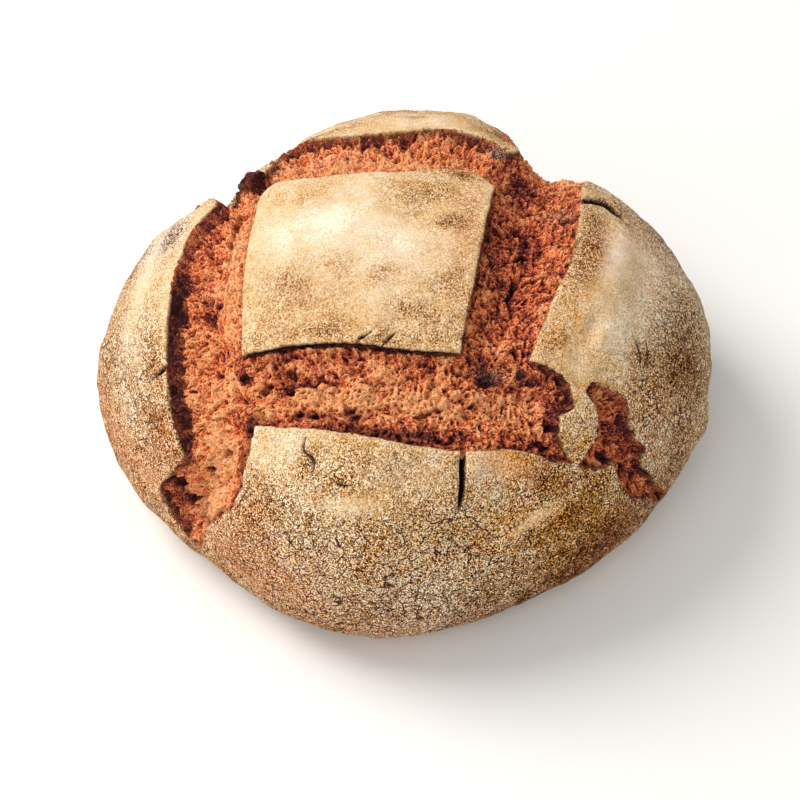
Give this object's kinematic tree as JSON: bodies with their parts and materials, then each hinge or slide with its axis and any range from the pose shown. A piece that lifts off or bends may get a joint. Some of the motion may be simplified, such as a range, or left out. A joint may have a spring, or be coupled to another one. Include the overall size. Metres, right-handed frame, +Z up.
{
  "type": "rye bread loaf",
  "caption": "Round floured hearth loaf of rye bread, flat underneath, its crust cut in a cross-hatch whose scores opened into broad grooves of torn crumb.",
  "frame": {"origin": "on the surface the loaf stands on, under the middle of its outline's box", "axes": "+Z up, +X to the loaf's right along its longest way, +Y to its back"},
  "size_m": [0.2514, 0.2423, 0.1147],
  "materials": {
    "bread": "matte floured crust with rough torn crumb in the scores"
  },
  "bodies": {
    "root": {"loaf": "bread"}
  },
  "joints": []
}
